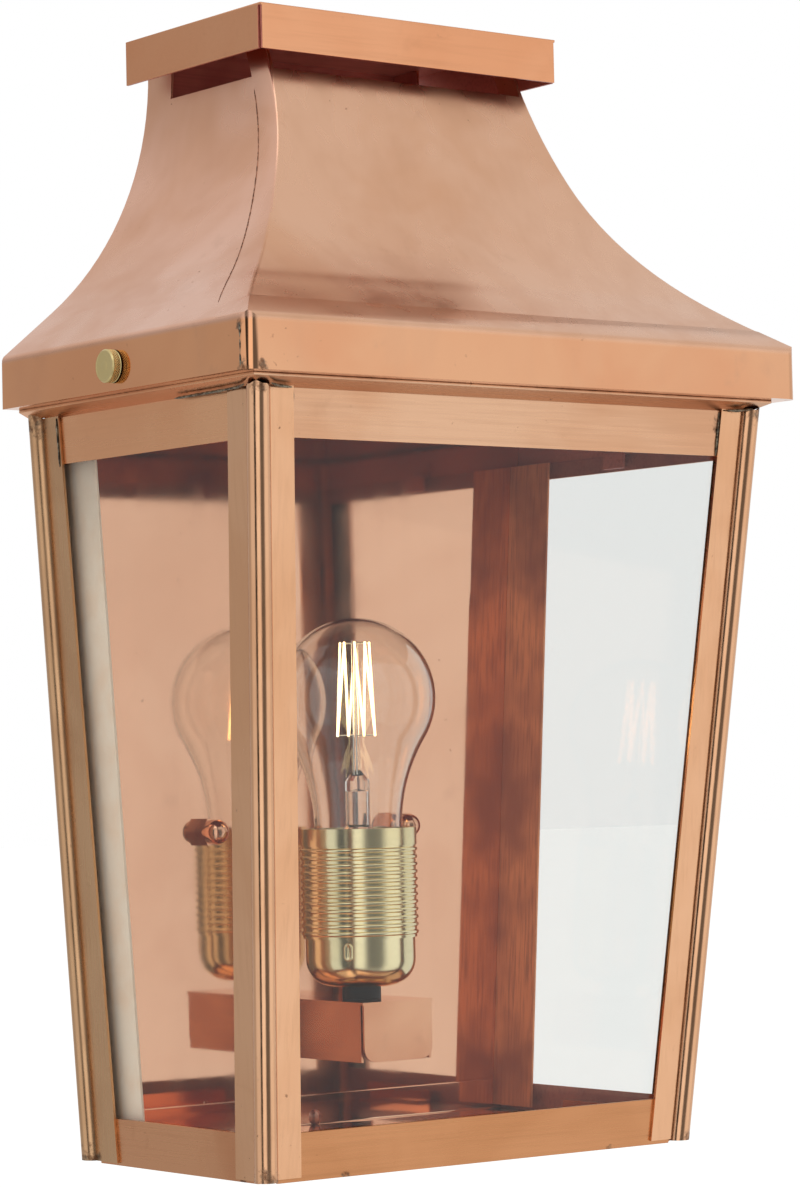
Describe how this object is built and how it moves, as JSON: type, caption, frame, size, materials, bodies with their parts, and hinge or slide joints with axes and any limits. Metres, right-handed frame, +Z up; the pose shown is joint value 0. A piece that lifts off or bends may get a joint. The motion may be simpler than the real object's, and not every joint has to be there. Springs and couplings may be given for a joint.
{
  "type": "wall lantern",
  "caption": "Half wall lantern of folded copper sheet with glass panes, a swept roof with a vented cap, and a clear filament bulb in a threaded brass lampholder.",
  "frame": {"origin": "midway between the two fixing holes, on the rear face of the back plate", "axes": "+Z up, +Y into the wall, +X to the right of a person who faces the wall"},
  "size_m": [0.2576, 0.157, 0.417],
  "materials": {
    "copper": "satin",
    "polished_copper": "polished",
    "brass": "polished",
    "window_glass": "polished",
    "bulb_glass": "polished",
    "black_plastic": "matte",
    "rubber": "matte",
    "ceramic": "satin",
    "wire": "satin",
    "filament": "satin"
  },
  "bodies": {
    "body": {"back_plate": "polished_copper", "front_post_left": "copper", "front_post_right": "copper", "rear_post_left": "copper", "rear_post_right": "copper", "top_rail_front": "copper", "top_rail_left": "copper", "top_rail_right": "copper", "bottom_rail_front": "copper", "bottom_rail_left": "copper", "bottom_rail_right": "copper", "glass_front": "window_glass", "glass_left": "window_glass", "glass_right": "window_glass", "glass_stop_left": "copper", "glass_stop_right": "copper", "glass_clips": "copper", "pane_stops": "copper", "bottom_plate": "copper", "bottom_rivet": "copper", "wall_nuts": "polished_copper", "bracket": "polished_copper", "bracket_rivets": "copper", "cable_grommet": "rubber", "nipple": "brass", "nipple_nut": "brass", "spacer": "black_plastic", "lampholder_cup": "brass", "lampholder_shell": "brass", "lampholder_insert": "ceramic", "screw_shell": "brass", "centre_contact": "brass"},
    "roof": {"roof_front": "copper", "roof_left": "copper", "roof_right": "copper", "roof_back": "copper", "roof_cap": "copper", "screw_bosses": "brass"},
    "left_screw": {"thumbscrew_left": "brass"},
    "right_screw": {"thumbscrew_right": "brass"},
    "bulb": {"bulb_glass": "bulb_glass", "bulb_cap": "brass", "bulb_insulator": "black_plastic", "bulb_tip": "wire", "bulb_stem": "bulb_glass", "bulb_filament": "filament", "filament_supports": "wire"}
  },
  "joints": [
    {"name": "roof_lift", "type": "slide", "parent": "body", "child": "roof", "axis": [0, 0, 1], "range_m": [0, 0.15]},
    {"name": "left_screw_out", "type": "slide", "parent": "roof", "child": "left_screw", "axis": [-1, 0, 0], "range_m": [0, 0.008]},
    {"name": "right_screw_out", "type": "slide", "parent": "roof", "child": "right_screw", "axis": [1, 0, 0], "range_m": [0, 0.008]},
    {"name": "bulb_unscrew", "type": "slide", "parent": "body", "child": "bulb", "axis": [0, 0, 1], "range_m": [0, 0.03]}
  ]
}
